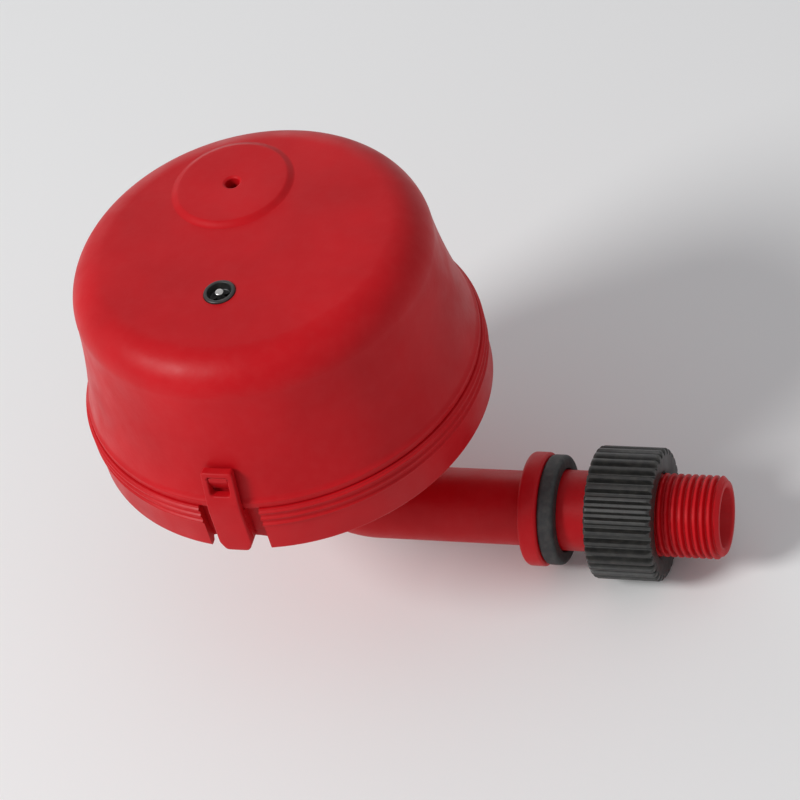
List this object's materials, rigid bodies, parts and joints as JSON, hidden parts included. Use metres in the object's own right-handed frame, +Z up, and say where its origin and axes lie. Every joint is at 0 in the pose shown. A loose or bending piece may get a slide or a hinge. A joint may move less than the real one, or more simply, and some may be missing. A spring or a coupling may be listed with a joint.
{
  "type": "drip emitter",
  "caption": "Float-controlled drip emitter: a domed float chamber on a snap-in tray, fed through a threaded side arm with washer and lock nut for a container wall.",
  "frame": {"origin": "centre of the washer's outboard face, which seats on the container wall, on the arm's axis", "axes": "+X along the arm out of the threaded inlet, +Z up along the bell's axis, +Y towards the float side"},
  "size_m": [0.1559, 0.1044, 0.1107],
  "materials": {
    "red_shell": "semi-gloss injection-moulded red plastic",
    "black_nylon": "matt black moulded nylon",
    "black_rubber": "matt black rubber",
    "white_acetal": "satin white plastic",
    "pale_mesh": "off-white woven plastic mesh",
    "steel": "plain stainless wire"
  },
  "bodies": {
    "housing": {"dome_cover": "red_shell", "base_tray": "red_shell", "inlet_arm": "red_shell", "wall_washer": "black_rubber", "riser_seal": "black_rubber", "riser_nut": "black_nylon", "nozzle": "white_acetal", "nozzle_seal": "black_rubber", "valve_bracket": "white_acetal", "pivot_pin": "steel"},
    "lever": {"float_lever": "white_acetal", "seat_pad": "black_rubber", "float_shell": "white_acetal", "float_lid": "white_acetal", "float_clip": "white_acetal"},
    "adjuster": {"rate_screw": "black_nylon", "screw_seal": "black_rubber", "rate_pin": "steel"},
    "nut": {"lock_nut": "black_nylon"},
    "strainer": {"strainer_collar": "pale_mesh", "strainer_mesh": "pale_mesh", "strainer_cap": "pale_mesh"}
  },
  "joints": [
    {"name": "float_lever_pivot", "type": "hinge", "parent": "housing", "child": "lever", "pos_m": [-0.0638, 0.009, 0.065], "axis": [1, 0, 0], "range_deg": [0, 9.5]},
    {"name": "rate_screw_turn", "type": "hinge", "parent": "housing", "child": "adjuster", "pos_m": [-0.0648, -0.018, 0.088], "axis": [0, 0, 1], "continuous": true},
    {"name": "lock_nut_slide", "type": "slide", "parent": "housing", "child": "nut", "axis": [1, 0, 0], "range_m": [-0.008, 0.036]},
    {"name": "strainer_slide", "type": "slide", "parent": "housing", "child": "strainer", "axis": [1, 0, 0], "range_m": [0, 0.07]}
  ]
}
